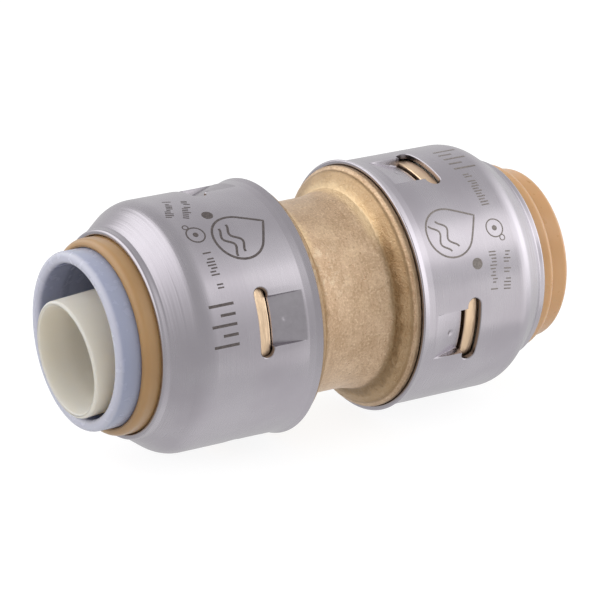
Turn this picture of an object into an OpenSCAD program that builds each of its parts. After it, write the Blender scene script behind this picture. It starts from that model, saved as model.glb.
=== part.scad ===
// Straight push fit coupling for 15.9 mm pipe. Axis along X, origin at the middle of the body.
// Each end has the same stack of pieces; the left end is the right end mirrored.

/* [Body] */
// radius of the bare barrel between the two covers
barrel_r = 10.4; // [10.2:0.1:10.9]
// radius of the bead at the edge of each flange
bead_r = 13.05; // [12.95:0.05:13.1]
// radius of each pipe socket
socket_r = 8.05; // [8:0.01:8.1]
// radius of the opening inside the pipe stop
stop_r = 5.9; // [5.6:0.1:6.2]
// half the width of the pipe stop
stop_half = 1.4; // [1.2:0.1:1.6]
// distance from the middle to each end of the body
body_end = 14.6; // [14.5:0.1:14.7]
// radius of the ridge that the cover tabs sit behind
ridge_r = 12.7; // [12.5:0.05:12.75]
// distance from the middle to the inner face of the ridge
ridge_in = 12.05; // [12:0.05:12.2]
// radius of the waist between the flange and the ridge
waist_r = 11.4; // [11.2:0.1:11.5]
// radius of the chamber for the O-ring and its protector
seal_r = 10.3; // [10.2:0.05:10.4]
// distance from the middle to the floor of that chamber
seal_floor = 9.6; // [9.4:0.1:9.6]

/* [Cover] */
// outer radius of the cover
cover_r = 13.37; // [13.35:0.01:13.4]
// thickness of the steel sheet
sheet = 0.55; // [0.5:0.01:0.56]
// distance from the middle to the open rim
rim_x = 6.2; // [6.1:0.05:6.3]
// outer radius of the flared open rim
rim_r = 13.75; // [13.7:0.01:13.8]
// radius of the rounded shoulder
shoulder_r = 3.2; // [3.1:0.1:3.3]
// radius of the opening in the neck
lip_r = 10.46; // [10.44:0.01:10.55]
// distance from the middle to the front of the neck
lip_x = 23.72; // [23.6:0.01:23.8]
// clock angle of the slots in the left cover
left_clock = 13.6; // [-45:0.1:45]
// clock angle of the slots in the right cover
right_clock = -10.7; // [-45:0.1:45]
// how far each tab is pressed in at its free edge
tab_press = 0.97; // [0.9:0.01:1]

/* [Guide ring] */
// bore that the release collar slides in
guide_bore_r = 9.48; // [9.46:0.01:9.5]
// distance from the middle to the front of the guide ring
guide_front = 25.45; // [25.2:0.05:25.6]
// outer radius of the guide ring in the cover's neck
guide_neck_r = 10.38; // [10.3:0.01:10.4]

/* [Release collar] */
// outer radius of the collar
collar_r = 9.42; // [9.4:0.01:9.44]
// distance from the middle to the front of the collar at rest
collar_front = 27.95; // [27.5:0.05:28.5]
// radius of the short guide land behind the mouth
land_r = 8.135; // [8.1:0.005:8.2]

/* [Grab ring] */
// thickness of the grab ring
grab_sheet = 0.35; // [0.3:0.01:0.4]
// number of slits between teeth
grab_teeth = 12; // [8:1:16]
// radius of the circle through the tips of the teeth
tooth_tip_r = 7.75; // [7.7:0.05:7.85]

/* [Seal] */
// radius of the O-ring's section
seal_section_r = 1.18; // [1.1:0.01:1.18]
// radius of the circle through the middle of the section
seal_ring_r = 8.85; // [8.83:0.01:8.9]

/* [Pipe liner] */
// outer radius of the liner's sleeve
liner_r = 6.25; // [6:0.05:6.3]
// inner radius of the liner's sleeve
liner_bore_r = 5.25; // [5:0.05:5.3]
// length of the liner
liner_length = 23.4; // [22:0.1:23.4]
// radius of the flange at the liner's inner end
liner_flange_r = 7.15; // [6.9:0.05:7.15]
// how far the left liner leans in its socket
liner_lean = 4.8; // [0:0.1:4.8]

/* [Hidden] */
$fn = 96;

brass = [0.80, 0.62, 0.36];
steel = [0.72, 0.71, 0.72];
tan_plastic = [0.76, 0.60, 0.37];
grey_plastic = [0.64, 0.66, 0.74];
cream_plastic = [0.80, 0.78, 0.70];
black_rubber = [0.08, 0.08, 0.09];
white_plastic = [0.88, 0.88, 0.86];

past = 1;

// flange of the body: the fillet, the sloping face and the bead
flange_foot_x = 4.05;
flange_face_x = 4.8;
flange_face_r = 11.85;
bead_in_x = 5.25;
bead_in_r = 12.55;
bead_section = 0.3;
bead_x = 5.75;
land_out_r = 12.74;
land_from = 6.6;
land_to = 7.7;
waist_from = 8.1;
ridge_width = 1.5;
nose_r = 11.7;
nose_chamfer = 0.6;
seal_mouth_chamfer = 0.4;
socket_lead = 0.6;

// cover
flare_to = 7.5;
shoulder_from = 18.7;
shoulder_end_angle = 36;
neck_r = lip_r + sheet;
shoulder_c = cover_r - shoulder_r;
tangent_r = shoulder_c + shoulder_r * cos(shoulder_end_angle);
tangent_x = shoulder_from + shoulder_r * sin(shoulder_end_angle);
cone_slope = tan(shoulder_end_angle);
neck_x = tangent_x + (tangent_r - neck_r) / cone_slope;
inner_bend = shoulder_r - sheet;
inner_tangent_r = shoulder_c + inner_bend * cos(shoulder_end_angle);
inner_tangent_x = shoulder_from + inner_bend * sin(shoulder_end_angle);
inner_neck_x = inner_tangent_x + (inner_tangent_r - lip_r) / cone_slope;
lip_round = 0.2;
slots = 4;
first_slot = 45;
slot_half_angle = 15.9;
slot_in = 12;
slot_out = 13.6;
slot_mid = (slot_in + slot_out) / 2;
slot_half = (slot_out - slot_in) / 2;
slot_half_straight = cover_r * sin(slot_half_angle) - slot_half;
punch_floor = cover_r - 3;
punch_height = 4;
tab_half_angle = 11.2;
tab_half_width = cover_r * sin(tab_half_angle);
tab_fold_x = 8.1;
tab_edge_x = 11.75;
tab_gap = 0.04;
tab_inset = 0.03;
tab_root = 0.3;
dimple_r = 0.4;
dimple_x = 10.2;

// guide ring
guide_back = 16.72;
guide_r = 12.6;
guide_shoulder_x = 18.9;
guide_bend_r = 12.15;
guide_bend_x = 20.2;
guide_cone_r = 10.62;
guide_cone_x = 22.3;
guide_edge = 0.7;
chamber_r = 10.65;
chamber_x = 19.8;

// release collar
collar_back = 16.95;
relief_r = 8.3;
land_from_x = 25.3;
hook_r = 10.4;
hook_from = 18.2;
hook_to = 19.72;
wedge_r = 9;
wedge_to_r = 9.7;
collar_wall = collar_r - land_r;
collar_round = collar_wall / 2;
collar_round_x = collar_front - collar_round;

// grab ring and its support
grab_rim_r = 12.3;
grab_root_r = 10.6;
grab_face = 16.3;
tooth_drop = 1.35;
slit_width = 1.3;
slit_end_r = 10.2;
support_r = 12.5;
support_from = 14.66;
support_to = 16.24;
support_seat_r = 10.6;
support_bore_r = 8.9;

// protector and O-ring
protector_from = 12.08;
protector_to = 14.6;
protector_r = 10.2;
protector_bore_r = 8.2;
protector_chamfer = 0.9;
seal_x = seal_floor + seal_section_r + 0.02;

// liners
flange_width = 1.2;
mouth_chamfer = 0.15;
mouth_bore_r = 5.75;
mouth_taper = 3;
seated_x = 1.55;
left_mouth_x = 29.13;
left_mouth_y = -0.3;
left_mouth_z = -1.64;

// the pieces are turned about Z and laid along X
module lay() {
  rotate([0, 90, 0])
    rotate_extrude()
      children();
}

module mirror_x() {
  mirror([1, 0, 0])
    children();
}

module brass_body() {
  half = [
    [stop_r, stop_half], [socket_r, stop_half], [socket_r, seal_floor - socket_lead],
    [socket_r + socket_lead / 2, seal_floor], [seal_r, seal_floor],
    [seal_r, body_end - seal_mouth_chamfer], [seal_r + seal_mouth_chamfer / 2, body_end],
    [nose_r - nose_chamfer / 2, body_end], [nose_r, body_end - nose_chamfer],
    [ridge_r, ridge_in + ridge_width], [ridge_r, ridge_in], [waist_r, ridge_in],
    [waist_r, waist_from], [land_out_r, land_to], [land_out_r, land_from],
    [bead_r, bead_x + bead_section], [bead_r, bead_x], [bead_in_r, bead_in_x],
    [flange_face_r, flange_face_x], [barrel_r, flange_foot_x]
  ];
  color(brass)
    lay()
      polygon(concat(half, [for (i = [len(half) - 1 : -1 : 0]) [half[i][0], -half[i][1]]]));
}

module cover_outer() {
  polygon([
    [0, rim_x], [rim_r, rim_x], [cover_r, flare_to], [cover_r, shoulder_from],
    [shoulder_c, shoulder_from], [tangent_r, tangent_x], [neck_r, neck_x],
    [neck_r, lip_x - lip_round], [neck_r - lip_round, lip_x], [0, lip_x]
  ]);
  translate([shoulder_c, shoulder_from])
    circle(r = shoulder_r);
}

module cover_inner() {
  polygon([
    [-past, rim_x - past], [rim_r - sheet, rim_x - past], [rim_r - sheet, rim_x],
    [cover_r - sheet, flare_to], [cover_r - sheet, shoulder_from],
    [shoulder_c, shoulder_from], [inner_tangent_r, inner_tangent_x],
    [lip_r, inner_neck_x], [lip_r, lip_x + past], [-past, lip_x + past]
  ]);
  translate([shoulder_c, shoulder_from])
    circle(r = inner_bend);
}

module cover_sheet() {
  intersection() {
    difference() {
      cover_outer();
      cover_inner();
    }
    translate([lip_r - past, 0])
      square([rim_r, lip_x + past]);
  }
}

// turns its children so that +Z points at the clock angle, counted from +Z towards +Y
module at_clock(clock) {
  rotate([-clock, 0, 0])
    children();
}

// the slot and the tab's window, both punched straight through the sheet
module cover_punch() {
  translate([0, 0, punch_floor])
    linear_extrude(height = punch_height) {
      translate([slot_mid - slot_half, -slot_half_straight])
        square([2 * slot_half, 2 * slot_half_straight]);
      for (side = [-1, 1])
        translate([slot_mid, side * slot_half_straight])
          circle(r = slot_half);
      translate([tab_fold_x, -tab_half_width])
        square([slot_mid - tab_fold_x, 2 * tab_half_width]);
    }
}

module cover_tab() {
  difference() {
    intersection() {
      lay()
        polygon([
          [cover_r - tab_inset, tab_fold_x - tab_root], [cover_r - tab_inset, tab_fold_x],
          [cover_r - tab_press, tab_edge_x], [cover_r - tab_press - sheet, tab_edge_x],
          [cover_r - sheet + tab_inset, tab_fold_x],
          [cover_r - sheet + tab_inset, tab_fold_x - tab_root]
        ]);
      translate([tab_fold_x - past, tab_gap - tab_half_width, punch_floor])
        cube([tab_edge_x - tab_fold_x + 2 * past, 2 * (tab_half_width - tab_gap), punch_height]);
    }
    translate([dimple_x, 0, cover_r - tab_press / 2])
      sphere(r = dimple_r);
  }
}

module cover(clock) {
  at_clock(clock - first_slot)
    union() {
      difference() {
        lay()
          cover_sheet();
        for (i = [0 : slots - 1])
          at_clock(first_slot + i * 360 / slots)
            cover_punch();
      }
      for (i = [0 : slots - 1])
        at_clock(first_slot + i * 360 / slots)
          cover_tab();
    }
}

module cover_left() {
  color(steel)
    mirror_x()
      cover(left_clock);
}

module cover_right() {
  color(steel)
    cover(right_clock);
}

module guide_ring() {
  lay() {
    polygon([
      [chamber_r, guide_back], [guide_r, guide_back], [guide_r, guide_shoulder_x],
      [guide_bend_r, guide_bend_x], [guide_cone_r, guide_cone_x],
      [guide_neck_r, guide_cone_x], [guide_neck_r, guide_front - guide_edge],
      [guide_neck_r - guide_edge, guide_front - guide_edge],
      [guide_neck_r - guide_edge, guide_front], [guide_bore_r, guide_front],
      [guide_bore_r, chamber_x], [chamber_r, chamber_x]
    ]);
    intersection() {
      translate([guide_neck_r - guide_edge, guide_front - guide_edge])
        circle(r = guide_edge);
      translate([guide_neck_r - guide_edge, guide_front - guide_edge])
        square(guide_edge);
    }
  }
}

module guide_ring_left() {
  color(tan_plastic)
    mirror_x()
      guide_ring();
}

module guide_ring_right() {
  color(tan_plastic)
    guide_ring();
}

module release_collar() {
  lay() {
    polygon([
      [relief_r, collar_back], [wedge_r, collar_back], [wedge_to_r, hook_from],
      [hook_r, hook_from], [hook_r, hook_to], [collar_r, hook_to],
      [collar_r, collar_round_x], [land_r, collar_round_x], [land_r, land_from_x],
      [relief_r, land_from_x]
    ]);
    translate([land_r + collar_round, collar_round_x])
      circle(r = collar_round);
  }
}

module collar_left() {
  color(grey_plastic)
    mirror_x()
      release_collar();
}

module collar_right() {
  color(tan_plastic)
    release_collar();
}

module grab_ring() {
  difference() {
    lay()
      polygon([
        [tooth_tip_r, grab_face - tooth_drop], [grab_root_r, grab_face],
        [grab_rim_r, grab_face], [grab_rim_r, grab_face + grab_sheet],
        [grab_root_r, grab_face + grab_sheet],
        [tooth_tip_r, grab_face - tooth_drop + grab_sheet]
      ]);
    for (i = [0 : grab_teeth - 1])
      rotate([i * 360 / grab_teeth, 0, 0])
        translate([grab_face - tooth_drop - past, -slit_width / 2, 0])
          cube([tooth_drop + 2 * past, slit_width, slit_end_r]);
  }
}

module grab_ring_left() {
  color(steel)
    mirror_x()
      grab_ring();
}

module grab_ring_right() {
  color(steel)
    grab_ring();
}

module grab_support() {
  lay()
    polygon([
      [support_bore_r, support_from], [support_r, support_from],
      [support_r, support_to], [support_seat_r, support_to]
    ]);
}

module grab_support_left() {
  color(white_plastic)
    mirror_x()
      grab_support();
}

module grab_support_right() {
  color(white_plastic)
    grab_support();
}

// the bore is chamfered towards the teeth, which bend into it when the collar is pushed
module seal_protector() {
  lay()
    polygon([
      [protector_bore_r, protector_from], [protector_r, protector_from],
      [protector_r, protector_to], [protector_bore_r + protector_chamfer, protector_to],
      [protector_bore_r, protector_to - protector_chamfer]
    ]);
}

module seal_protector_left() {
  color(white_plastic)
    mirror_x()
      seal_protector();
}

module seal_protector_right() {
  color(white_plastic)
    seal_protector();
}

module o_ring() {
  lay()
    translate([seal_ring_r, seal_x])
      circle(r = seal_section_r);
}

module o_ring_left() {
  color(black_rubber)
    mirror_x()
      o_ring();
}

module o_ring_right() {
  color(black_rubber)
    o_ring();
}

// inner end at the origin, mouth end towards +X
module liner() {
  lay()
    polygon([
      [liner_bore_r, 0], [liner_flange_r, 0], [liner_flange_r, flange_width],
      [liner_r, flange_width], [liner_r, liner_length - mouth_chamfer],
      [liner_r - mouth_chamfer, liner_length], [mouth_bore_r, liner_length],
      [liner_bore_r, liner_length - mouth_taper]
    ]);
}

module liner_left() {
  color(cream_plastic)
    translate([-left_mouth_x, left_mouth_y, left_mouth_z])
      rotate([0, -liner_lean, 0])
        translate([liner_length, 0, 0])
          mirror_x()
            liner();
}

module liner_right() {
  color(cream_plastic)
    translate([seated_x, 0, 0])
      liner();
}

brass_body();
cover_left();
cover_right();
guide_ring_left();
guide_ring_right();
collar_left();
collar_right();
grab_ring_left();
grab_ring_right();
grab_support_left();
grab_support_right();
seal_protector_left();
seal_protector_right();
o_ring_left();
o_ring_right();
liner_left();
liner_right();
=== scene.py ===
import math
import random

import bpy
import bmesh
from mathutils import Matrix, Vector, noise


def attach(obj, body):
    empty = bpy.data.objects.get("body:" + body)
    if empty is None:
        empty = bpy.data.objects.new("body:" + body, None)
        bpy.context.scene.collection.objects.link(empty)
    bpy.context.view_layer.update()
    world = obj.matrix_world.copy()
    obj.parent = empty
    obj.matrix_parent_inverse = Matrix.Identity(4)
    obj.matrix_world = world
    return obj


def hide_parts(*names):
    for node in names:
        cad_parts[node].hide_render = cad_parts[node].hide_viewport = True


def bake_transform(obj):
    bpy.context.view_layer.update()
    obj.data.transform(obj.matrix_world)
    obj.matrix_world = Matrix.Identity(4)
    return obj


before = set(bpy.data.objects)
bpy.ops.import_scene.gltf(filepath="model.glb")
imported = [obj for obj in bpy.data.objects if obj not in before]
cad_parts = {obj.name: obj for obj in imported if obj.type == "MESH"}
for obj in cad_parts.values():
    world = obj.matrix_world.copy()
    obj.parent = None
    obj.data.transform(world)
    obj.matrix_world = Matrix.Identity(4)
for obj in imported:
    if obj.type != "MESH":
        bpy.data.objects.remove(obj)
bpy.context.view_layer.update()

MM = 0.001
scene = bpy.context.scene


# ---------------------------------------------------------------- camera
VIEW_RIGHT = Vector((0.84575, -0.53358, 0.0))
VIEW_DOWN = Vector((-0.17281, -0.27397, -0.94609))
VIEW_FORWARD = Vector((0.50482, 0.80015, -0.32392))
CAMERA_DISTANCE = 371.9 * MM
CAMERA_ASIDE = 0.48 * MM
CAMERA_LENS = 209.57
SENSOR = 36.0


def make_camera():
    data = bpy.data.cameras.new("camera")
    data.lens = CAMERA_LENS
    data.sensor_width = SENSOR
    data.clip_start = 0.01
    data.clip_end = 20.0
    camera = bpy.data.objects.new("camera", data)
    place = -(VIEW_RIGHT - VIEW_DOWN) * CAMERA_ASIDE - VIEW_FORWARD * CAMERA_DISTANCE
    turn = Matrix((VIEW_RIGHT, -VIEW_DOWN, -VIEW_FORWARD)).transposed()
    camera.matrix_world = Matrix.Translation(place) @ turn.to_4x4()
    scene.collection.objects.link(camera)
    scene.camera = camera


# ---------------------------------------------------------------- profiles, in mm
SUPPORT = 0.05
ARC_STEP = math.radians(12)
SMALL_RADIUS = 0.12
SMALL_ARC_STEP = math.radians(30)


def turned(v, angle):
    sine, cosine = math.sin(angle), math.cos(angle)
    return Vector((v.x * cosine - v.y * sine, v.x * sine + v.y * cosine))


def rounded(corners):
    """A closed outline (x, r) in millimetres. A corner with a third number is rounded to that radius,
    and has a support point on each side so that the flats beside it shade flat."""
    out = []
    count = len(corners)
    for i, corner in enumerate(corners):
        here = Vector(corner[:2])
        radius = corner[2] if len(corner) > 2 else 0
        if not radius:
            out.append(here)
            continue
        before = Vector(corners[i - 1][:2]) - here
        after = Vector(corners[(i + 1) % count][:2]) - here
        half = before.angle(after) / 2
        reach = radius / math.tan(half)
        inwards = (before.normalized() + after.normalized()).normalized()
        centre = here + inwards * radius / math.sin(half)
        start = here + before.normalized() * reach
        end = here + after.normalized() * reach
        turn = math.pi - 2 * half
        steps = max(2, math.ceil(turn / (ARC_STEP if radius > SMALL_RADIUS else SMALL_ARC_STEP)))
        spoke = start - centre
        way = 1 if spoke.cross(end - centre) > 0 else -1
        if before.length > reach + SUPPORT * 2:
            out.append(start + before.normalized() * SUPPORT)
        for k in range(steps + 1):
            out.append(centre + turned(spoke, way * turn * k / steps))
        if after.length > reach + SUPPORT * 2:
            out.append(end + after.normalized() * SUPPORT)
    return [(p.x, p.y) for p in out]


def subdivided(outline, step, low, high, inner=0.0):
    """The outline with points added every step, where a stretch has x from low to high and r over inner."""
    out = []
    for i, (x0, r0) in enumerate(outline):
        x1, r1 = outline[(i + 1) % len(outline)]
        out.append((x0, r0))
        length = math.hypot(x1 - x0, r1 - r0)
        within = low <= min(x0, x1) and max(x0, x1) <= high and min(r0, r1) > inner
        if within and length > step * 1.5:
            parts = round(length / step)
            for k in range(1, parts):
                t = k / parts
                out.append((x0 + (x1 - x0) * t, r0 + (r1 - r0) * t))
    return out


def point(x, r, clock):
    """Clock angles are in radians from +Z towards +Y."""
    return (x * MM, r * MM * math.sin(clock), r * MM * math.cos(clock))


SHARP = math.radians(32)


def finish_mesh(name, bm, material, body, replaced=()):
    bm.normal_update()
    if bm.calc_volume(signed=True) < 0:
        bmesh.ops.reverse_faces(bm, faces=bm.faces)
    mesh = bpy.data.meshes.new(name)
    bm.to_mesh(mesh)
    bm.free()
    mesh.shade_smooth()
    mesh.set_sharp_from_angle(angle=SHARP)
    mesh.materials.append(material)
    obj = bpy.data.objects.new(name, mesh)
    scene.collection.objects.link(obj)
    if body:
        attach(obj, body)
    if replaced:
        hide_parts(*replaced)
    return obj


def lathe_mesh(outline, segments, side=1, shape=None):
    """A closed ring of revolution about X. shape moves a point, given its x, r and clock angle."""
    bm = bmesh.new()
    rings = []
    for x, r in outline:
        ring = []
        for k in range(segments):
            clock = 2 * math.pi * k / segments
            px, pr = shape(x, r, clock) if shape else (x, r)
            ring.append(bm.verts.new(point(side * px, pr, clock)))
        rings.append(ring)
    for i, ring in enumerate(rings):
        following = rings[(i + 1) % len(rings)]
        for k in range(segments):
            n = (k + 1) % segments
            bm.faces.new((ring[k], ring[n], following[n], following[k]))
    return bm


# ---------------------------------------------------------------- shader node helpers
def nodes_of(name):
    material = bpy.data.materials.new(name)
    material.use_nodes = True
    tree = material.node_tree
    tree.nodes.clear()
    out = tree.nodes.new("ShaderNodeOutputMaterial")
    shader = tree.nodes.new("ShaderNodeBsdfPrincipled")
    tree.links.new(shader.outputs[0], out.inputs[0])
    return material, tree, shader


def plug(tree, value, socket):
    """A link if the value is another node's output, and otherwise a constant on the socket itself."""
    if isinstance(value, bpy.types.NodeSocket):
        tree.links.new(value, socket)
    else:
        socket.default_value = value


def maths(tree, operation, a, b=None):
    node = tree.nodes.new("ShaderNodeMath")
    node.operation = operation
    plug(tree, a, node.inputs[0])
    if b is not None:
        plug(tree, b, node.inputs[1])
    return node.outputs[0]


def scaled(tree, value, factor, offset=0.0):
    """value * factor + offset."""
    product = maths(tree, "MULTIPLY", value, factor)
    return maths(tree, "ADD", product, offset) if offset else product


def ramp(tree, value, low, high, to_low=0.0, to_high=1.0):
    """Eases from to_low to to_high while value goes from low to high."""
    node = tree.nodes.new("ShaderNodeMapRange")
    node.interpolation_type = "SMOOTHSTEP"
    plug(tree, value, node.inputs[0])
    for index, number in enumerate((low, high, to_low, to_high), 1):
        node.inputs[index].default_value = number
    return node.outputs[0]


def band(tree, value, rise, fall):
    """1 between two soft edges: value enters over the (from, to) of rise and leaves over that of fall."""
    return maths(tree, "MULTIPLY", ramp(tree, value, *rise), ramp(tree, value, fall[1], fall[0]))


def mix(tree, factor, a, b):
    node = tree.nodes.new("ShaderNodeMix")
    node.data_type = "RGBA"
    for socket, value in ((node.inputs[0], factor), (node.inputs[6], a), (node.inputs[7], b)):
        plug(tree, value, socket)
    return node.outputs[2]


def position(tree):
    return tree.nodes.new("ShaderNodeTexCoord").outputs["Object"]


def attribute(tree, name):
    node = tree.nodes.new("ShaderNodeAttribute")
    node.attribute_name = name
    return node.outputs["Fac"]


def noise_at(tree, where, scale, detail=2.0, rough=0.5, stretch=None):
    """Noise with scale cells to a metre, or with the three numbers of stretch along X, Y and Z."""
    if stretch:
        mapping = tree.nodes.new("ShaderNodeMapping")
        plug(tree, where, mapping.inputs["Vector"])
        mapping.inputs["Scale"].default_value = stretch
        where = mapping.outputs[0]
    node = tree.nodes.new("ShaderNodeTexNoise")
    plug(tree, where, node.inputs["Vector"])
    node.inputs["Scale"].default_value = scale
    node.inputs["Detail"].default_value = detail
    node.inputs["Roughness"].default_value = rough
    return node.outputs[0]


def bump(tree, height, strength, distance, before=None):
    node = tree.nodes.new("ShaderNodeBump")
    node.inputs["Strength"].default_value = strength
    node.inputs["Distance"].default_value = distance
    plug(tree, height, node.inputs["Height"])
    if before is not None:
        plug(tree, before, node.inputs["Normal"])
    return node.outputs[0]


def around(tree, where):
    """Distance from the middle along the pipe axis, distance from that axis, and x and z, in millimetres."""
    node = tree.nodes.new("ShaderNodeSeparateXYZ")
    plug(tree, where, node.inputs[0])
    x, y, z = (maths(tree, "MULTIPLY", part, 1 / MM) for part in node.outputs)
    squares = maths(tree, "ADD", maths(tree, "MULTIPLY", y, y), maths(tree, "MULTIPLY", z, z))
    return maths(tree, "ABSOLUTE", x), maths(tree, "SQRT", squares), x, z


# ---------------------------------------------------------------- materials
def steel_material(name, pressings):
    """Satin steel. On the covers the pressed tabs are scuffed and carry painted shade, and the cut walls of
    the slots carry painted shade.
    """
    material, tree, shader = nodes_of(name)
    where = position(tree)
    away, _, _, _ = around(tree, where)
    cloud = noise_at(tree, where, 160.0, 3.0)
    streak = noise_at(tree, where, 1.0, 4.0, 0.6, (9000.0, 240.0, 240.0))
    hairline = noise_at(tree, where, 1.0, 2.0, 0.5, (2600.0, 60.0, 60.0))
    grain = noise_at(tree, where, 9000.0, 2.0)
    colour = mix(tree, ramp(tree, cloud, 0.35, 0.7), (0.450, 0.422, 0.460, 1), (0.495, 0.468, 0.505, 1))
    rough = maths(tree, "ADD", scaled(tree, streak, 0.10), scaled(tree, cloud, 0.08, 0.17))
    if pressings:
        scuff = noise_at(tree, where, 1400.0, 4.0, 0.65)
        tab = attribute(tree, "tab")
        wall = attribute(tree, "wall")
        # painted shade mixed with scuffing on the pressed tabs: the tab value sets how dark, more on the left
        # cover than the right
        worn = maths(tree, "MULTIPLY", tab, ramp(tree, scuff, 0.3, 0.7, 0.25, 0.6))
        colour = mix(tree, worn, colour, (0.23, 0.215, 0.225, 1))
        # painted shade on the cut walls of the slots
        colour = mix(tree, scaled(tree, wall, 0.75), colour, (0.07, 0.05, 0.038, 1))
        rough = maths(tree, "ADD", rough, scaled(tree, tab, 0.08))
    plug(tree, colour, shader.inputs["Base Color"])
    plug(tree, rough, shader.inputs["Roughness"])
    shader.inputs["Metallic"].default_value = 1.0
    # the lines left by spinning are deepest on the shoulder and the nose
    spun = maths(tree, "MULTIPLY", hairline, ramp(tree, away, 18.0, 20.5, 1.0, 5.0))
    first = bump(tree, streak, 0.10, 0.00001)
    second = bump(tree, spun, 0.20, 0.00002, first)
    plug(tree, bump(tree, grain, 0.05, 0.00001, second), shader.inputs["Normal"])
    return material


def brass_material():
    """Cast brass: a lumpy, sparkling grain, with painted shade in the corner at the foot of each flange and
    on its face, groove and side, and painted light on the foot and on the left of the barrel.
    """
    material, tree, shader = nodes_of("cast_brass")
    where = position(tree)
    away, r, x, z = around(tree, where)
    top = maths(tree, "DIVIDE", z, r)
    cloud = noise_at(tree, where, 420.0, 4.0, 0.6)
    lumps = noise_at(tree, where, 900.0, 3.0, 0.6)
    grain = noise_at(tree, where, 4200.0, 4.0, 0.7)
    scratch = noise_at(tree, where, 1.0, 3.0, 0.6, (2200.0, 420.0, 420.0))
    worn = noise_at(tree, where, 230.0, 6.0, 0.68)
    # the skin as cast covers the barrel and the flanges; inside and on the machined ends it is smooth
    cast = maths(tree, "MULTIPLY", ramp(tree, r, 9.6, 10.0), ramp(tree, away, 7.2, 6.6))

    # patches, rubbed bright and dull, and a painted highlight on the left of the barrel
    colour = mix(tree, ramp(tree, cloud, 0.3, 0.7), (0.61, 0.425, 0.275, 1), (0.74, 0.54, 0.37, 1))
    colour = mix(tree, ramp(tree, worn, 0.52, 0.66, 0.0, 0.28), colour, (0.95, 0.74, 0.50, 1))
    # painted highlight: lumps on the left of the barrel brightened in a band of clock angles where the light
    # falls
    barrel_highlight = maths(tree, "MULTIPLY", ramp(tree, lumps, 0.5, 0.64, 0.0, 0.55), ramp(tree, x, 0.5, -3.0))
    highlight_clock_band = band(tree, top, (0.2, 0.4), (0.65, 0.85))
    colour = mix(tree, maths(tree, "MULTIPLY", barrel_highlight, highlight_clock_band), colour, (1.0, 0.86, 0.66, 1))
    colour = mix(tree, ramp(tree, worn, 0.44, 0.30, 0.0, 0.2), colour, (0.50, 0.335, 0.205, 1))

    # sparkle of the grain
    bright = maths(tree, "MULTIPLY", ramp(tree, grain, 0.50, 0.68, 0.0, 0.6), cast)
    dull = maths(tree, "MULTIPLY", ramp(tree, grain, 0.46, 0.27, 0.0, 0.6), cast)
    colour = mix(tree, bright, colour, (0.97, 0.78, 0.56, 1))
    colour = mix(tree, dull, colour, (0.34, 0.215, 0.12, 1))

    # the ridge that shows in the slots is turned bright
    colour = mix(tree, ramp(tree, away, 11.0, 11.9, 0.0, 0.6), colour, (0.95, 0.72, 0.50, 1))

    # the flange: painted shade on its face and in the ragged corner, painted light on the lit foot below it,
    # painted shade in the groove and on the side
    # painted shade on the sloped face of the flange
    face = band(tree, away, (3.9, 4.5), (5.35, 5.55))
    colour = mix(tree, scaled(tree, face, 0.6), colour, (0.42, 0.275, 0.13, 1))
    unevenness = maths(tree, "SUBTRACT", lumps, 0.5)
    ragged = maths(tree, "ADD", away, scaled(tree, unevenness, 0.9))
    # painted shade in the corner at the foot of the flange, less towards the top
    corner = band(tree, ragged, (3.5, 4.3), (4.45, 4.9))
    shaded = maths(tree, "MULTIPLY", corner, ramp(tree, top, 0.80, 0.55, 0.05, 0.6))
    colour = mix(tree, shaded, colour, (0.20, 0.12, 0.05, 1))
    soft = maths(tree, "ADD", away, scaled(tree, unevenness, 0.4))
    foot = band(tree, soft, (2.9, 3.9), (4.3, 4.9))
    lit = maths(tree, "MULTIPLY", foot, ramp(tree, top, 0.60, 0.85, 0.0, 0.6))
    colour = mix(tree, lit, colour, (0.99, 0.77, 0.48, 1))
    # painted shade in the groove beside the bead
    groove = band(tree, away, (5.1, 5.28), (5.42, 5.5))
    colour = mix(tree, scaled(tree, groove, 0.45), colour, (0.22, 0.13, 0.06, 1))
    # painted shade on the side of the bead towards the cover
    side = band(tree, away, (5.5, 5.8), (6.7, 7.2))
    colour = mix(tree, scaled(tree, side, 0.6), colour, (0.26, 0.17, 0.09, 1))

    plug(tree, colour, shader.inputs["Base Color"])
    plug(tree, scaled(tree, lumps, 0.24, 0.20), shader.inputs["Roughness"])
    shader.inputs["Metallic"].default_value = 1.0
    first = bump(tree, maths(tree, "MULTIPLY", grain, cast), 1.0, 0.00012)
    second = bump(tree, maths(tree, "MULTIPLY", lumps, cast), 0.6, 0.00012, first)
    plug(tree, bump(tree, scratch, 0.8, 0.00008, second), shader.inputs["Normal"])
    return material


def plastic_material(name, light, dark, roughness, subsurface, radius, gloss=0.0, rim=None):
    """A moulded plastic, a little cloudy, with an eggshell surface. rim is (from, to, colour): a painted
    highlight, a paler end beyond those distances from the middle."""
    material, tree, shader = nodes_of(name)
    where = position(tree)
    cloud = noise_at(tree, where, 120.0, 3.0)
    fine = noise_at(tree, where, 900.0, 3.0)
    speck = noise_at(tree, where, 5200.0, 2.0)
    colour = mix(tree, ramp(tree, cloud, 0.3, 0.7), light, dark)
    if rim:
        # a painted highlight on the end
        start, end, rim_highlight_colour = rim
        away, _, _, _ = around(tree, where)
        colour = mix(tree, ramp(tree, away, start, end), colour, rim_highlight_colour)
    plug(tree, colour, shader.inputs["Base Color"])
    plug(tree, scaled(tree, fine, 0.16, roughness - 0.08), shader.inputs["Roughness"])
    shader.inputs["Coat Weight"].default_value = gloss
    shader.inputs["Coat Roughness"].default_value = 0.16
    shader.inputs["Subsurface Weight"].default_value = subsurface
    shader.inputs["Subsurface Radius"].default_value = radius
    shader.inputs["Subsurface Scale"].default_value = MM
    first = bump(tree, fine, 0.05, 0.00004)
    plug(tree, bump(tree, speck, 0.06, 0.00001, first), shader.inputs["Normal"])
    return material


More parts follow.
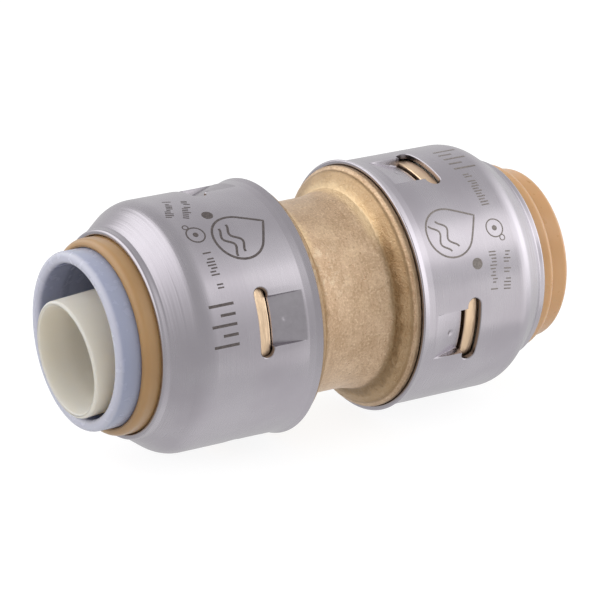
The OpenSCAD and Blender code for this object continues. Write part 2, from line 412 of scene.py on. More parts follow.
def rubber_material():
    material, tree, shader = nodes_of("black_rubber")
    where = position(tree)
    cloud = noise_at(tree, where, 500.0, 3.0)
    speck = noise_at(tree, where, 4000.0, 2.0)
    colour = mix(tree, cloud, (0.012, 0.012, 0.013, 1), (0.03, 0.03, 0.031, 1))
    plug(tree, colour, shader.inputs["Base Color"])
    plug(tree, scaled(tree, cloud, 0.2, 0.35), shader.inputs["Roughness"])
    plug(tree, bump(tree, speck, 0.15, 0.00002), shader.inputs["Normal"])
    return material


def mark_material(name, dark, light):
    """The dull, speckled burn of an etched mark."""
    material, tree, shader = nodes_of(name)
    where = position(tree)
    speck = noise_at(tree, where, 6000.0, 3.0)
    plug(tree, mix(tree, ramp(tree, speck, 0.3, 0.7), dark, light), shader.inputs["Base Color"])
    plug(tree, ramp(tree, speck, 0.2, 0.8, 0.45, 0.65), shader.inputs["Roughness"])
    shader.inputs["Metallic"].default_value = 0.3
    plug(tree, bump(tree, speck, 0.1, 0.00001), shader.inputs["Normal"])
    return material


TAN_GLOW = (1.0, 0.65, 0.35)

STEEL = steel_material("satin_steel", True)
BRASS = brass_material()
SPRING = steel_material("spring_steel", False)
TAN = plastic_material(
    "tan_plastic", (0.66, 0.372, 0.162, 1), (0.62, 0.338, 0.138, 1), 0.30, 0.3, TAN_GLOW, gloss=0.3,
)
# a darker copy of the tan plastic for the left guide: painted shade
SHADED_TAN = plastic_material(
    "shaded_tan_plastic", (0.475, 0.28, 0.12, 1), (0.43, 0.248, 0.102, 1), 0.32, 0.3, TAN_GLOW, gloss=0.2,
)
# the grey collar's end carries a painted highlight
GREY = plastic_material(
    "grey_plastic", (0.39, 0.415, 0.545, 1), (0.365, 0.39, 0.515, 1), 0.26, 0.5, (1.6, 1.6, 1.7),
    rim=(27.25, 27.75, (0.56, 0.565, 0.66, 1)),
)
CREAM = plastic_material(
    "cream_plastic", (0.76, 0.72, 0.65, 1), (0.715, 0.67, 0.595, 1), 0.46, 0.9, (2.0, 1.8, 1.5),
)
WHITE = plastic_material(
    "white_plastic", (0.72, 0.72, 0.69, 1), (0.66, 0.66, 0.63, 1), 0.4, 0.2, (1.0, 1.0, 0.9),
)
RUBBER = rubber_material()
DARK_MARK = mark_material("etched_mark_dark", (0.075, 0.062, 0.062, 1), (0.15, 0.125, 0.12, 1))
PALE_MARK = mark_material("etched_mark_pale", (0.19, 0.165, 0.155, 1), (0.31, 0.275, 0.255, 1))


# ---------------------------------------------------------------- brass body, in mm
BODY_SEGMENTS = 280
GRAIN_DEPTH = 0.045
GRAIN_PER_MM = 2.6
GRAIN_STEP = 0.17
GRAIN_REACH = 5.6
BARREL_SHARE = 0.3
CAST_FROM_R, CAST_TO_X = 9.5, 5.9
# where the foot of the flange takes over from the barrel, and where its rim starts, each with its fade
FOOT_X, FOOT_FADE = 3.8, 0.6
RIM_X, RIM_FADE = 5.3, 0.3

# one half, from the pipe stop along the bore, round the end of the socket and back along the outside
BODY_HALF = [
    (1.4, 5.9, 0.15), (1.4, 8.05, 0.1), (9.0, 8.05, 0.2), (9.6, 8.35, 0.1), (9.6, 10.3, 0.1),
    (14.2, 10.3, 0.1), (14.6, 10.5, 0.06), (14.6, 11.4, 0.08), (14.0, 11.7, 0.2),
    (13.55, 12.68, 0.16), (12.05, 12.68, 0.16), (12.05, 11.4, 0.1), (8.1, 11.4, 0.3),
    (7.7, 12.74, 0.12), (6.6, 12.74, 0.1), (6.16, 13.12, 0.2), (5.68, 13.12, 0.2), (5.44, 12.68, 0.08),
    (5.24, 12.6, 0.12), (4.8, 11.9, 0.35), (4.32, 10.9, 0.3), (2.4, 10.38, 10.0),
]


def fraction(value, start, length):
    """0 up to start, 1 from start + length, and straight in between."""
    return min(max((value - start) / length, 0), 1)


def cast_skin(x, r, clock):
    """The flange faces and the barrel keep the grain of the casting."""
    away = abs(x)
    if r < CAST_FROM_R or away > CAST_TO_X:
        return x, r
    place = Vector((x, r * math.sin(clock), r * math.cos(clock)))
    rough = noise.fractal(place * GRAIN_PER_MM, 0.6, 2.1, 4)
    foot = fraction(away, FOOT_X, FOOT_FADE)
    rim = fraction(away, RIM_X, RIM_FADE)
    deep = GRAIN_DEPTH * (BARREL_SHARE + (1 - BARREL_SHARE) * foot) * (1 - 0.7 * rim)
    lean = 0.7 * foot
    return x - math.copysign(rough * deep * lean, x), r + rough * deep


def make_body():
    corners = BODY_HALF + [(-x, r, radius) for x, r, radius in reversed(BODY_HALF)]
    outline = subdivided(rounded(corners), GRAIN_STEP, -GRAIN_REACH, GRAIN_REACH, CAST_FROM_R)
    bm = lathe_mesh(outline, BODY_SEGMENTS, 1, cast_skin)
    finish_mesh("brass_fitting_body", bm, BRASS, "coupling", ("brass_body",))


# ---------------------------------------------------------------- steel covers, in mm
COVER_R = 13.37
SHEET = 0.55
WALL_END = 18.5
SHOULDER_X, SHOULDER_BEND = 18.7, 3.2
SHOULDER_TILT = math.radians(36)
SHOULDER_STEPS = 12
SLOT_COUNT = 4
QUARTER = 2 * math.pi / SLOT_COUNT
HALF_QUARTER = 45
SLOT_IN, SLOT_OUT = 12.0, 13.6
SLOT_MID = (SLOT_IN + SLOT_OUT) / 2
SLOT_HALF = (SLOT_OUT - SLOT_IN) / 2
SLOT_REACH = COVER_R * math.sin(math.radians(15.9)) - SLOT_HALF
SLOT_WINDOW = math.radians(20)
TAB_HALF = COVER_R * math.sin(math.radians(11.2))
TAB_FOLD, TAB_EDGE = 8.1, 11.75
TAB_PRESS = 0.97
TAB_WALL = 0.05
FOLD_SOFT = 0.1
SKIRT_DEPTH, SKIRT_RUN, SKIRT_SPREAD = 0.035, 2.5, 0.9
DIMPLE_X, DIMPLE_R, DIMPLE_DEPTH = 10.2, 0.42, 0.1
EDGE_BREAK = 0.08
# how much wider than on the outer face the pressing is: at the cut's top, at its foot and on the inner face
TOP_WIDER, FOOT_WIDER, INNER_WIDER = 0.02, 0.25, 0.3
LEFT_CLOCK = math.radians(13.6)
RIGHT_CLOCK = math.radians(-10.7)
FLARE_TIP_X, FLARE_TIP_R = 6.34, 13.665

# (start, end, step) of the grid: across half a quarter turn in degrees, and along the straight wall in mm
CLOCK_RUNS = (
    (0, 2.1, 0.35), (2.1, 9.6, 1.25), (9.6, 10.8, 0.3), (10.8, 11.7, 0.075),
    (11.7, 12.3, 0.15), (12.3, 16.7, 0.3), (16.7, 18.5, 0.9), (18.5, HALF_QUARTER, 2.2),
)
WALL_RUNS = (
    (7.86, 8.4, 0.06), (8.4, 9.7, 0.26), (9.7, 10.7, 0.1), (10.7, 11.6, 0.2),
    (11.6, 13.75, 0.1), (13.75, 14.2, 0.2), (14.2, WALL_END, 0.7),
)


def smooth(t):
    t = min(max(t, 0), 1)
    return t * t * (3 - 2 * t)


def slot_distance(x, s):
    """Distance outside the opening: the round-ended slot and the strip that the tab left open."""
    slot = math.hypot(x - SLOT_MID, max(abs(s) - SLOT_REACH, 0)) - SLOT_HALF
    dx = max(TAB_EDGE - x, x - SLOT_MID)
    ds = abs(s) - TAB_HALF
    strip = math.hypot(max(dx, 0), max(ds, 0)) + min(max(dx, ds), 0)
    return min(slot, strip)


def snapped(x, s, level):
    """The nearest place at the given distance outside the opening."""
    e = 0.001
    for _ in range(6):
        d = slot_distance(x, s) - level
        gx = (slot_distance(x + e, s) - slot_distance(x - e, s)) / (2 * e)
        gs = (slot_distance(x, s + e) - slot_distance(x, s - e)) / (2 * e)
        size = math.hypot(gx, gs) or 1
        x -= d * gx / size / size
        s -= d * gs / size / size
    return x, s


def pressed(x, s, wider):
    """How far the sheet is pushed in around the tab, which is larger by wider on each side."""
    if not TAB_FOLD - 1 < x < SLOT_MID:
        return 0
    run = x - TAB_FOLD
    if run < -FOLD_SOFT:
        run = 0
    elif run < FOLD_SOFT:
        run = (run + FOLD_SOFT) ** 2 / (4 * FOLD_SOFT)
    slope = TAB_PRESS / (TAB_EDGE - TAB_FOLD)
    across = 1 - smooth((abs(s) - TAB_HALF - wider + TAB_WALL) / (2 * TAB_WALL))
    near = math.hypot(x - DIMPLE_X, s) / DIMPLE_R
    dimple = DIMPLE_DEPTH * (1 - near * near) ** 2 if near < 1 else 0
    skirt = SKIRT_DEPTH * smooth(run / SKIRT_RUN) * (1 - smooth((abs(s) - TAB_HALF) / SKIRT_SPREAD))
    return min(run * slope, TAB_PRESS) * across + dimple + skirt * (1 - across)


def spread(*runs):
    """Numbers from runs of (start, end, step), each without its end."""
    out = []
    for start, end, step in runs:
        parts = max(1, round((end - start) / step))
        out += [start + (end - start) * k / parts for k in range(parts)]
    return out


def cover_clocks(clock):
    """The columns of the grid: (clock angle, quarter, angle from the middle of that quarter's slot)."""
    half = spread(*CLOCK_RUNS)
    offsets = sorted(set([-a for a in half] + half + [HALF_QUARTER]))
    return [
        (clock + quarter * QUARTER + math.radians(a), quarter, math.radians(a))
        for quarter in range(SLOT_COUNT) for a in offsets
    ]


def shoulder_line(bend):
    """The arc from the straight wall towards the nose, at a radius of bend about the shoulder's centre."""
    angles = [SHOULDER_TILT * k / SHOULDER_STEPS for k in range(1, SHOULDER_STEPS + 1)]
    centre_r = COVER_R - SHOULDER_BEND
    return [(SHOULDER_X + bend * math.sin(a), centre_r + bend * math.cos(a)) for a in angles]


def cover_ends():
    """The sheet's section beyond the straight wall, as two lines that lead from one face to the other."""
    outer_shoulder = shoulder_line(SHOULDER_BEND)
    inner_shoulder = shoulder_line(SHOULDER_BEND - SHEET)
    first, last = outer_shoulder[-1], inner_shoulder[-1]
    tip = [(22.92, 11.06, 0.35), (23.7, 11.03, 0.34), (23.7, 10.46, 0.14), (22.57, 10.5, 0.5)]
    nose = subdivided(rounded([last, first] + tip), 0.35, 20.5, 30)[1:]
    nose = [p for p in nose if min(math.dist(p, last), math.dist(p, first)) > 0.01]
    front = outer_shoulder + nose + inner_shoulder[::-1]

    bends = rounded([(7.9, COVER_R), (7.78, COVER_R, 0.5), (6.98, 13.45, 0.6), (6.3, 13.68)])[1:-1]
    flare = [(FLARE_TIP_X, FLARE_TIP_R)] + sorted(bends)
    rim = rounded([(6.9, 13.47), (6.2, 13.72, 0.2), (6.2, 13.16, 0.16), (6.9, 12.9)])
    rim = [p for p in rim if p[0] < FLARE_TIP_X]
    inner_flare = [(x, r - SHEET) for x, r in flare]
    back = inner_flare[::-1] + rim[::-1] + flare
    return front, back


class Cover:
    """A spun steel cover: a straight wall with four slots and pressed tabs, a shoulder and a flared rim.
    The wall is a grid of rows along X and columns round the clock, with the cells of the slots left out."""

    def __init__(self, side, clock, tab_scuff_and_shade):
        self.side = side
        self.clock = clock
        self.tab_scuff_and_shade = tab_scuff_and_shade
        self.wall = spread(*WALL_RUNS) + [WALL_END, SHOULDER_X]
        self.clocks = cover_clocks(clock)
        self.count = len(self.clocks)
        self.bm = bmesh.new()
        self.tab_mask = self.bm.verts.layers.float.new("tab")
        self.wall_shade_mask = self.bm.verts.layers.float.new("wall")
        self.openings = self.find_openings()
        self.outer, self.inner, self.edges = [], [], {}

    def find_openings(self):
        """The cells (row, column) of the straight wall's grid that lie in a slot."""
        cells = set()
        for i in range(len(self.wall) - 1):
            x = (self.wall[i] + self.wall[i + 1]) / 2
            for k, (_, quarter, a) in enumerate(self.clocks):
                _, following, b = self.clocks[(k + 1) % self.count]
                if following != quarter:
                    b = math.radians(HALF_QUARTER)
                s = COVER_R * math.sin((a + b) / 2)
                if abs(a) < SLOT_WINDOW and slot_distance(x, s) < EDGE_BREAK / 2:
                    cells.add((i, k))
        return cells

    def vert(self, x, r, clock):
        return self.bm.verts.new(point(self.side * x, r, clock))

    def quad(self, a, b, c, d):
        self.bm.faces.new((a, b, c, d))

    def edge_vert(self, x, s, quarter, depth, wider, dull):
        """A point of a slot's cut edge, at a depth in the sheet. dull is how much painted shade it takes as a
        cut wall.
        """
        clock = self.clock + quarter * QUARTER + math.asin(s / COVER_R)
        vert = self.vert(x, COVER_R - depth - pressed(x, s, wider), clock)
        vert[self.wall_shade_mask] = dull
        return vert

    def edge_chain(self, x, s, quarter):
        """The cut edge from the outer to the inner face, with its corners broken."""
        face, cut = snapped(x, s, EDGE_BREAK), snapped(x, s, 0)
        return (
            # the last number of each, dull, is how much painted shade that ring of the cut takes
            self.edge_vert(*face, quarter, 0, 0, 0.0),
            self.edge_vert(*cut, quarter, EDGE_BREAK, TOP_WIDER, 0.4),
            self.edge_vert(*cut, quarter, SHEET - EDGE_BREAK / 2, FOOT_WIDER, 1.0),
            self.edge_vert(*face, quarter, SHEET, INNER_WIDER, 1.0),
        )

    def add_wall_points(self):
        """Outer and inner points, but none inside a slot, and a chain of four where the sheet is cut."""
        uses = {}
        for i, k in self.openings:
            for spot in ((i, k), (i + 1, k), (i, (k + 1) % self.count), (i + 1, (k + 1) % self.count)):
                uses[spot] = uses.get(spot, 0) + 1
        for i, x in enumerate(self.wall):
            outer_row, inner_row = [], []
            for k, (clock, quarter, a) in enumerate(self.clocks):
                s = COVER_R * math.sin(a)
                open_cells = uses.get((i, k), 0)
                if open_cells == 4:
                    outer, inner = None, None
                elif open_cells:
                    self.edges[i, k] = self.edge_chain(x, s, quarter)
                    outer, inner = self.edges[i, k][0], self.edges[i, k][-1]
                else:
                    outer = self.vert(x, COVER_R - pressed(x, s, 0), clock)
                    if TAB_FOLD - 0.04 < x < TAB_EDGE and abs(s) < TAB_HALF:
                        # the tabs take scuffing and painted shade by this amount
                        outer[self.tab_mask] = self.tab_scuff_and_shade
                    inner = self.vert(x, COVER_R - SHEET - pressed(x, s, INNER_WIDER), clock)
                outer_row.append(outer)
                inner_row.append(inner)
            self.outer.append(outer_row)
            self.inner.append(inner_row)

    def add_wall_faces(self):
        for i in range(len(self.wall) - 1):
            for k in range(self.count):
                if (i, k) in self.openings:
                    continue
                n = (k + 1) % self.count
                low, high = self.outer[i], self.outer[i + 1]
                self.quad(low[k], low[n], high[n], high[k])
                low, high = self.inner[i], self.inner[i + 1]
                self.quad(high[k], high[n], low[n], low[k])

    def add_slot_walls(self):
        """Faces through the sheet, on each side of an open cell that has metal beyond it."""
        for i, k in self.openings:
            n = (k + 1) % self.count
            before = (k - 1) % self.count
            for a, b, beyond in (
                ((i, k), (i, n), (i - 1, k)), ((i, n), (i + 1, n), (i, n)),
                ((i + 1, n), (i + 1, k), (i + 1, k)), ((i + 1, k), (i, k), (i, before)),
            ):
                if beyond in self.openings:
                    continue
                one, two = self.edges[a], self.edges[b]
                for step in range(3):
                    self.quad(one[step], two[step], two[step + 1], one[step + 1])

    def add_end(self, first, line, last):
        """Rings along a line of (x, r), from the row first to the row last."""
        rows = [first] + [[self.vert(x, r, clock) for clock, _, _ in self.clocks] for x, r in line] + [last]
        for one, two in zip(rows, rows[1:]):
            for k in range(self.count):
                n = (k + 1) % self.count
                self.quad(one[k], one[n], two[n], two[k])


def make_cover(name, side, clock, node, tab_scuff_and_shade):
    front, back = cover_ends()
    cover = Cover(side, clock, tab_scuff_and_shade)
    cover.add_wall_points()
    cover.add_wall_faces()
    cover.add_slot_walls()
    cover.add_end(cover.outer[-1], front, cover.inner[-1])
    cover.add_end(cover.inner[0], back, cover.outer[0])
    bmesh.ops.recalc_face_normals(cover.bm, faces=cover.bm.faces)
    return finish_mesh(name, cover.bm, STEEL, "coupling", (node,))


# ---------------------------------------------------------------- turned and moulded pieces, in mm
SEGMENTS = 240


def make_lathe(name, corners, side, material, body, node):
    bm = lathe_mesh(rounded(corners), SEGMENTS, side)
    return finish_mesh(name, bm, material, body, (node,))


# (distance from the middle, radius, rounding) of each corner
GUIDE = [
    (16.72, 10.65, 0.1), (16.72, 12.6, 0.15), (18.9, 12.6, 0.4), (20.2, 12.15, 0.5),
    (22.3, 10.62, 0.1), (22.3, 10.38, 0.08), (25.46, 10.36, 0.72), (25.46, 9.48, 0.14),
    (19.8, 9.48, 0.1), (19.8, 10.65, 0.1),
]
COLLAR = [
    (16.95, 8.3, 0.1), (16.95, 9.0, 0.15), (18.2, 9.7, 0.05), (18.2, 10.4, 0.15),
    (19.72, 10.4, 0.15), (19.72, 9.42, 0.05), (27.95, 9.42, 0.6), (27.95, 8.135, 0.6),
    (25.2, 8.135, 1.5), (24.2, 8.3, 1.5),
]
# the same from the liner's own seated end
LINER_LENGTH = 23.4
LINER = [
    (0, 5.25, 0.15), (0, 7.15, 0.25), (1.2, 7.15, 0.25), (1.2, 6.25, 0.12),
    (LINER_LENGTH, 6.25, 0.3), (LINER_LENGTH, 5.78, 0.16), (20.4, 5.25, 5.0),
]
LINER_LEAN = math.radians(4.8)
LEFT_MOUTH = (-29.13, -0.3, -1.64)
RIGHT_SEAT = 1.55


def make_liner(name, side, body, node):
    """The right liner sits on the axis at its stop; the left one leans, placed by the middle of its mouth."""
    bm = lathe_mesh(rounded(LINER), SEGMENTS, side)
    if side < 0:
        place = Matrix.Translation(Vector(LEFT_MOUTH) * MM) @ Matrix.Rotation(-LINER_LEAN, 4, "Y")
        place = place @ Matrix.Translation((LINER_LENGTH * MM, 0, 0))
    else:
        place = Matrix.Translation((RIGHT_SEAT * MM, 0, 0))
    bm.transform(place)
    return finish_mesh(name, bm, CREAM, body, (node,))


# ---------------------------------------------------------------- toothed rings, in mm
# a flat rim, and teeth that lean towards the pipe stop from the root to the tip
GRAB_FACE = 16.3
GRAB_SHEET = 0.35
GRAB_ROOT_R, GRAB_RIM_R, TOOTH_TIP_R = 10.6, 12.3, 7.75
TOOTH_DROP = 1.35
TOOTH_COUNT = 12
TOOTH_STEPS = 12
SLIT_HALF = 0.65
SLIT_END_R = 10.2


def make_grab_ring(name, side, node):
    """A ring of sprung teeth round a flat rim."""
    radii = spread((TOOTH_TIP_R, GRAB_ROOT_R, 0.15), (GRAB_ROOT_R, GRAB_RIM_R, 0.4)) + [GRAB_RIM_R]
    bm = bmesh.new()
    grid = []
    for r in radii:
        drop = TOOTH_DROP * min(max((GRAB_ROOT_R - r) / (GRAB_ROOT_R - TOOTH_TIP_R), 0), 1)
        row = []
        for tooth in range(TOOTH_COUNT):
            start = 2 * math.pi * tooth / TOOTH_COUNT
            gap = math.asin(SLIT_HALF / r)
            width = 2 * math.pi / TOOTH_COUNT - 2 * gap
            for k in range(TOOTH_STEPS + 1):
                clock = start + gap + width * k / TOOTH_STEPS
                x = GRAB_FACE - drop
                row.append(tuple(
                    bm.verts.new(point(side * (x + shift), r, clock)) for shift in (0, GRAB_SHEET)
                ))
        grid.append(row)
    count = len(grid[0])

    def closed(i, k):
        """Whether the cell between columns k and k + 1, outside radius i, is metal and not slit."""
        return (k + 1) % (TOOTH_STEPS + 1) != 0 or radii[i] >= SLIT_END_R

    for i in range(len(radii) - 1):
        for k in range(count):
            n = (k + 1) % count
            if not closed(i, k):
                continue
            a, b, c, d = grid[i][k], grid[i][n], grid[i + 1][n], grid[i + 1][k]
            bm.faces.new((a[0], b[0], c[0], d[0]))
            bm.faces.new((d[1], c[1], b[1], a[1]))
            if i == 0 or not closed(i - 1, k):
                bm.faces.new((a[0], a[1], b[1], b[0]))
            if i == len(radii) - 2:
                bm.faces.new((d[0], c[0], c[1], d[1]))
            if not closed(i, (k - 1) % count):
                bm.faces.new((a[0], d[0], d[1], a[1]))
            if not closed(i, n):
                bm.faces.new((b[0], b[1], c[1], c[0]))
    bmesh.ops.recalc_face_normals(bm, faces=bm.faces)
    ring = finish_mesh(name, bm, SPRING, None, (node,))
    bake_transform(ring)
    return ring


# ---------------------------------------------------------------- marks on the covers, in mm
MARK_LIFT, MARK_SINK = 0.012, 0.03
STROKE_STEP = 0.35
DISC_STEPS, CIRCLE_STEPS, DROP_STEPS, RIPPLE_STEPS = 20, 24, 30, 16
DROP_LEAN = math.radians(46)
RIPPLE_LEVELS = (-0.1, -0.5)
RIPPLE_REACH, RIPPLE_RISE, RIPPLE_TURNS = 0.66, 0.13, 1.5
TICK_GAP_CHANCE = 0.12


def cover_radius(x):
    """Outer radius of a cover at a distance x from the middle, as far as the shoulder."""
    if x < SHOULDER_X:
        return COVER_R
    return COVER_R - SHOULDER_BEND + math.sqrt(max(SHOULDER_BEND ** 2 - (x - SHOULDER_X) ** 2, 0))


def circle_points(x, s, radius, steps):
    angles = [2 * math.pi * k / steps for k in range(steps)]
    return [(x + radius * math.cos(a), s + radius * math.sin(a)) for a in angles]


class Marks:
    """Plain etched strokes on one cover. A point is (x, s): x from the middle, s along the girth."""

    def __init__(self, side):
        self.side = side
        self.bm = bmesh.new()

    def lay(self, x, s, lift):
        return self.bm.verts.new(point(self.side * x, cover_radius(x) + lift, s / COVER_R))

    def stroke(self, points, width, ring=False):
        fine = []
        count = len(points)
        for i in range(count if ring else count - 1):
            a, b = Vector(points[i]), Vector(points[(i + 1) % count])
            parts = max(1, round((b - a).length / STROKE_STEP))
            fine += [a.lerp(b, k / parts) for k in range(parts)]
        if not ring:
            fine.append(Vector(points[-1]))
        rows = []
        for i, here in enumerate(fine):
            before = fine[i - 1] if ring or i else here
            after = fine[(i + 1) % len(fine)] if ring or i < len(fine) - 1 else here
            along = (after - before).normalized()
            across = Vector((-along.y, along.x)) * width / 2
            one, two = here + across, here - across
            rows.append((
                self.lay(*one, MARK_LIFT), self.lay(*two, MARK_LIFT),
                self.lay(*two, -MARK_SINK), self.lay(*one, -MARK_SINK),
            ))
        for i in range(len(rows) if ring else len(rows) - 1):
            a, b = rows[i], rows[(i + 1) % len(rows)]
            for k in range(4):
                n = (k + 1) % 4
                self.bm.faces.new((a[k], a[n], b[n], b[k]))
        if not ring:
            self.bm.faces.new(rows[0])
            self.bm.faces.new(tuple(reversed(rows[-1])))

    def disc(self, x, s, radius):
        places = circle_points(x, s, radius, DISC_STEPS)
        top, foot = ([self.lay(*place, lift) for place in places] for lift in (MARK_LIFT, -MARK_SINK))
        for k in range(DISC_STEPS):
            n = (k + 1) % DISC_STEPS
            self.bm.faces.new((top[k], top[n], foot[n], foot[k]))
        self.bm.faces.new(top)
        self.bm.faces.new(tuple(reversed(foot)))

    def circle(self, x, s, radius, width):
        self.stroke(circle_points(x, s, radius, CIRCLE_STEPS), width, True)

    def ticks(self, start, end, height, width, pitch, seed):
        """A line of small upright bars of uneven height, standing for a line of small print."""
        a, b = Vector(start), Vector(end)
        along = (b - a).normalized()
        up = Vector((-along.y, along.x))
        pick = random.Random(seed)
        for k in range(int((b - a).length / pitch)):
            if pick.random() < TICK_GAP_CHANCE:
                continue
            foot = a + along * pitch * k
            low = height * pick.choice((-0.5, -0.5, -0.2))
            high = height * pick.choice((0.5, 0.5, 0.25))
            self.stroke([foot + up * low, foot + up * high], width)

    def bars(self, start, end, height, width, heights):
        """A few bold bars, standing for the size mark."""
        a, b = Vector(start), Vector(end)
        along = (b - a).normalized()
        up = Vector((-along.y, along.x))
        for k, tall in enumerate(heights):
            foot = a.lerp(b, k / (len(heights) - 1)) - up * height / 2
            self.stroke([foot, foot + up * height * tall], width)

    def droplet(self, x, s, radius, heading, width):
        """A drop outline with two ripples inside it."""
        ahead = Vector((math.cos(heading), math.sin(heading)))
        across = Vector((-ahead.y, ahead.x))
        centre = Vector((x, s))
        points = []
        for k in range(DROP_STEPS + 1):
            a = DROP_LEAN + (2 * math.pi - 2 * DROP_LEAN) * k / DROP_STEPS
            points.append(centre + ahead * radius * math.cos(a) + across * radius * math.sin(a))
        points.append(centre + ahead * radius / math.cos(DROP_LEAN))
        self.stroke(points, width, True)
        for level in RIPPLE_LEVELS:
            wave = []
            for k in range(RIPPLE_STEPS + 1):
                t = 2 * k / RIPPLE_STEPS - 1
                rise = level + RIPPLE_RISE * math.sin(t * math.pi * RIPPLE_TURNS)
                wave.append(centre + across * radius * RIPPLE_REACH * t + ahead * radius * rise)
            self.stroke(wave, width)

    def finish(self, name, material):
        bmesh.ops.recalc_face_normals(self.bm, faces=self.bm.faces)
        return finish_mesh(name, self.bm, material, "coupling")


def girth(x, degrees):
    """A place on a cover from its distance from the middle and its clock angle."""
    return (x, math.radians(degrees) * COVER_R)


def make_marks():
    left = Marks(-1)
    left.bars(girth(17.6, -65), girth(17.6, -83), 2.9, 0.3, (1, 0.6, 1, 0.6, 1))
    left.ticks(girth(17.2, -40.5), girth(17.2, -61), 0.95, 0.16, 0.36, 1)
    left.circle(*girth(17.3, -30), 1.0, 0.16)
    left.disc(*girth(17.3, -30), 0.3)
    left.circle(*girth(17.9, -24.8), 0.3, 0.12)
    left.droplet(*girth(12.9, -35), 2.75, math.radians(160), 0.26)
    left.disc(*girth(14.6, -19.5), 0.62)
    left.ticks(girth(17.1, -2), girth(18.8, -18.5), 0.9, 0.15, 0.36, 2)
    left.ticks(girth(15.3, -5), girth(17.1, -21), 0.9, 0.15, 0.36, 3)
    left.finish("marks_left", DARK_MARK)
    right = Marks(1)
    right.bars(girth(17.4, -2), girth(17.4, -19.5), 2.7, 0.24, (1, 0.6, 1, 0.6, 1))
    right.ticks(girth(16.9, -24.5), girth(16.9, -46), 0.95, 0.15, 0.36, 4)
    right.circle(*girth(16.8, -55), 1.0, 0.14)
    right.disc(*girth(16.8, -55), 0.3)
    right.circle(*girth(17.4, -60), 0.3, 0.11)
    right.droplet(*girth(11.2, -53), 2.75, math.radians(20), 0.2)
    right.disc(*girth(13.6, -69.5), 0.62)
    right.ticks(girth(17.5, -66.5), girth(16.9, -85), 0.85, 0.14, 0.36, 5)
    right.ticks(girth(15.7, -65.5), girth(15.3, -84), 0.85, 0.14, 0.36, 6)
    right.finish("marks_right", PALE_MARK)


# ---------------------------------------------------------------- lights and stage
AMBIENT = 0.60
# (direction, tightness, strength) of each broad glow
LOBES = [
    ((0.95, -0.15, 0.2), 9.0, 1.75),
    ((0.6, -0.58, 0.55), 12.0, 0.40),
    ((0.3, -0.15, -1.0), 3.0, 0.30),
    ((0.45, 0.8, 0.35), 7.0, 0.20),
]
# brightness of a soft box on the left: (direction, from, to) of each soft edge of it
LEFT_BOX = 1.25
LEFT_BOX_EDGES = [
    ((-1, 0.37, 0), 0.36, 0.50),
    ((0, 1, 0), -0.95, 0.15),
    ((0, 0, 1), -0.1, 0.35),
]


def make_world():
    world = bpy.data.worlds.new("studio")
    scene.world = world
    world.use_nodes = True
    tree = world.node_tree
    tree.nodes.clear()
    out = tree.nodes.new("ShaderNodeOutputWorld")
    background = tree.nodes.new("ShaderNodeBackground")
    tree.links.new(background.outputs[0], out.inputs[0])
    where = tree.nodes.new("ShaderNodeTexCoord").outputs["Generated"]

    def towards(x, y, z):
        dot = tree.nodes.new("ShaderNodeVectorMath")
        dot.operation = "DOT_PRODUCT"
        tree.links.new(where, dot.inputs[0])
        dot.inputs[1].default_value = (x, y, z)
        return dot.outputs["Value"]

    first, front, low = (ramp(tree, towards(*aim), start, end) for aim, start, end in LEFT_BOX_EDGES)
    total = scaled(tree, maths(tree, "MULTIPLY", maths(tree, "MULTIPLY", first, front), low), LEFT_BOX)
    for direction, tight, strength in LOBES:
        aim = Vector(direction).normalized()
        glow = maths(tree, "EXPONENT", scaled(tree, towards(*aim), tight, -tight))
        total = maths(tree, "ADD", total, scaled(tree, glow, strength))
    plug(tree, maths(tree, "ADD", total, AMBIENT), background.inputs["Strength"])
    background.inputs["Color"].default_value = (1, 1, 1, 1)


# place, side and brightness of each soft box; both stand to the right, so the right cover is the brighter one
SOFT_BOXES = {
    "soft_box_high": ((0.081, -0.083, 0.077), 0.06, 0.5),
    "soft_box_front": ((0.092, -0.088, -0.030), 0.085, 0.4),
}
SOFT_BOX_COLOUR = (1.0, 0.975, 0.95)
SOFT_BOX_AIM = (0.012, -0.008, 0.004)


def make_soft_boxes():
    for name, (place, side, brightness) in SOFT_BOXES.items():
        data = bpy.data.lights.new(name, "AREA")
        data.shape = "SQUARE"
        data.size = side
        data.energy = brightness * math.pi * side * side
        data.color = SOFT_BOX_COLOUR
        light = bpy.data.objects.new(name, data)
        place = Vector(place)
        turn = (place - Vector(SOFT_BOX_AIM)).to_track_quat("Z", "Y").to_matrix().to_4x4()
        light.matrix_world = Matrix.Translation(place) @ turn
        scene.collection.objects.link(light)


FLOOR_Z = -13.82 * MM
FLOOR_SIDE = 4.0
FLOOR_GLOW = 0.86


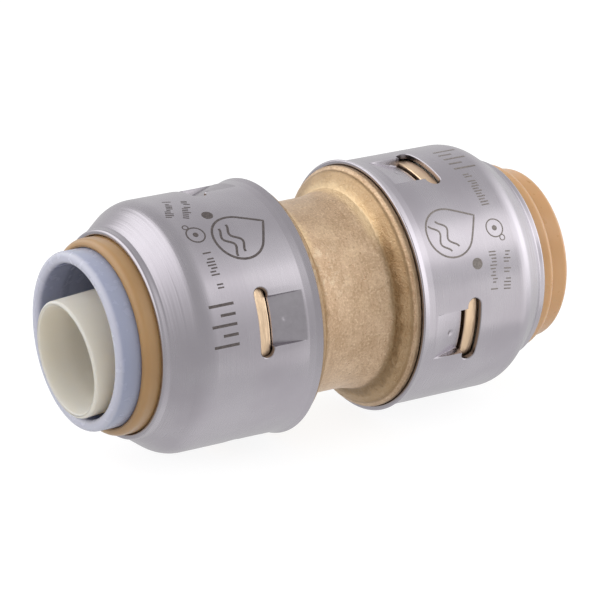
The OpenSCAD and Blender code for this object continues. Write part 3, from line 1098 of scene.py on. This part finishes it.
def make_stage():
    bm = bmesh.new()
    half = FLOOR_SIDE / 2
    corners = ((-half, -half), (half, -half), (half, half), (-half, half))
    bm.faces.new([bm.verts.new((x, y, FLOOR_Z)) for x, y in corners])
    mesh = bpy.data.meshes.new("floor")
    bm.to_mesh(mesh)
    bm.free()
    material, tree, shader = nodes_of("floor_white")
    shader.inputs["Base Color"].default_value = (0.25, 0.25, 0.25, 1)
    shader.inputs["Roughness"].default_value = 0.9
    shader.inputs["Specular IOR Level"].default_value = 0.0
    shader.inputs["Emission Color"].default_value = (1, 1, 1, 1)
    shader.inputs["Emission Strength"].default_value = FLOOR_GLOW
    mesh.materials.append(material)
    floor = bpy.data.objects.new("floor", mesh)
    floor.visible_glossy = False
    floor.visible_diffuse = False
    scene.collection.objects.link(floor)


# ---------------------------------------------------------------- build
make_camera()
make_body()
# the last number is the tabs' scuffing and painted shade, heavier on the left cover
make_cover("cover_shell_left", -1, LEFT_CLOCK, "cover_left", 0.45)
make_cover("cover_shell_right", 1, RIGHT_CLOCK, "cover_right", 0.1)
# the left guide takes the painted-shade copy of the tan plastic
make_lathe("guide_left", GUIDE, -1, SHADED_TAN, "coupling", "guide_ring_left")
make_lathe("guide_right", GUIDE, 1, TAN, "coupling", "guide_ring_right")
make_lathe("release_left", COLLAR, -1, GREY, "release_collar_left", "collar_left")
make_lathe("release_right", COLLAR, 1, TAN, "release_collar_right", "collar_right")
make_liner("stiffener_left", -1, "loose_liner_left", "liner_left")
make_liner("stiffener_right", 1, "loose_liner_right", "liner_right")
make_grab_ring("grab_teeth_left", -1, "grab_ring_left")
make_grab_ring("grab_teeth_right", 1, "grab_ring_right")
make_marks()

for node, material in (
    ("grab_support_left", WHITE), ("grab_support_right", WHITE),
    ("seal_protector_left", WHITE), ("seal_protector_right", WHITE),
    ("o_ring_left", RUBBER), ("o_ring_right", RUBBER),
):
    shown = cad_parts[node]
    if not shown.material_slots:
        shown.data.materials.append(material)
    for held in shown.material_slots:
        held.material = material

make_world()
make_soft_boxes()
make_stage()
scene.view_settings.view_transform = "Standard"
